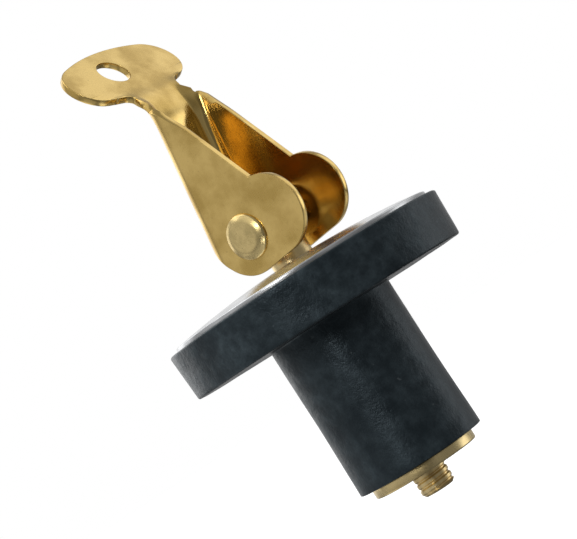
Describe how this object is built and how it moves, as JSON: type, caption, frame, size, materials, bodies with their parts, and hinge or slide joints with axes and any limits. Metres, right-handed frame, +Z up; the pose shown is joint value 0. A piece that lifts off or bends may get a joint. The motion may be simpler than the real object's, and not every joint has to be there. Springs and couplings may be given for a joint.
{
  "type": "bait well plug",
  "caption": "Expanding drain plug: a rubber stem and flange under a domed plate, squeezed by a brass cam lever with a holed thumb tab that draws up a bolt and bottom washer.",
  "frame": {"origin": "centre of the flange's underside, on the plug's axis, where the flange meets the rim of the drain", "axes": "+Z up the plug's axis from the stem to the lever, Y along the lever's pivot, and the open lever closes towards +X"},
  "size_m": [0.043, 0.043, 0.0772],
  "materials": {
    "rubber": "matte moulded rubber with a faint dusty mottle",
    "plate_steel": "smooth stamped stainless steel",
    "bolt_brass": "turned brass",
    "washer_brass": "turned brass",
    "rivet_brass": "satin brass",
    "lever_brass": "satin stamped brass sheet"
  },
  "bodies": {
    "plug": {"rubber_plug": "rubber", "top_plate": "plate_steel"},
    "clamp": {"bottom_washer": "washer_brass"},
    "bolt": {"eye_bolt": "bolt_brass"},
    "lever": {"lever": "lever_brass", "pivot_rivet": "rivet_brass"}
  },
  "joints": [
    {"name": "clamp_lift", "type": "slide", "parent": "plug", "child": "clamp", "axis": [0, 0, 1], "range_m": [0, 0.0054], "deforming": ["rubber_plug"]},
    {"name": "bolt_spin", "type": "hinge", "parent": "clamp", "child": "bolt", "pos_m": [0, 0, 0], "axis": [0, 0, 1], "range_deg": [-180, 180]},
    {"name": "lever_pivot", "type": "hinge", "parent": "bolt", "child": "lever", "pos_m": [0, 0, 0.01511], "axis": [0, 1, 0], "range_deg": [0, 79.9]}
  ],
  "couplings": [
    {"joint": "clamp_lift", "follows": "lever_pivot", "m_per_rad": 0.0038}
  ]
}
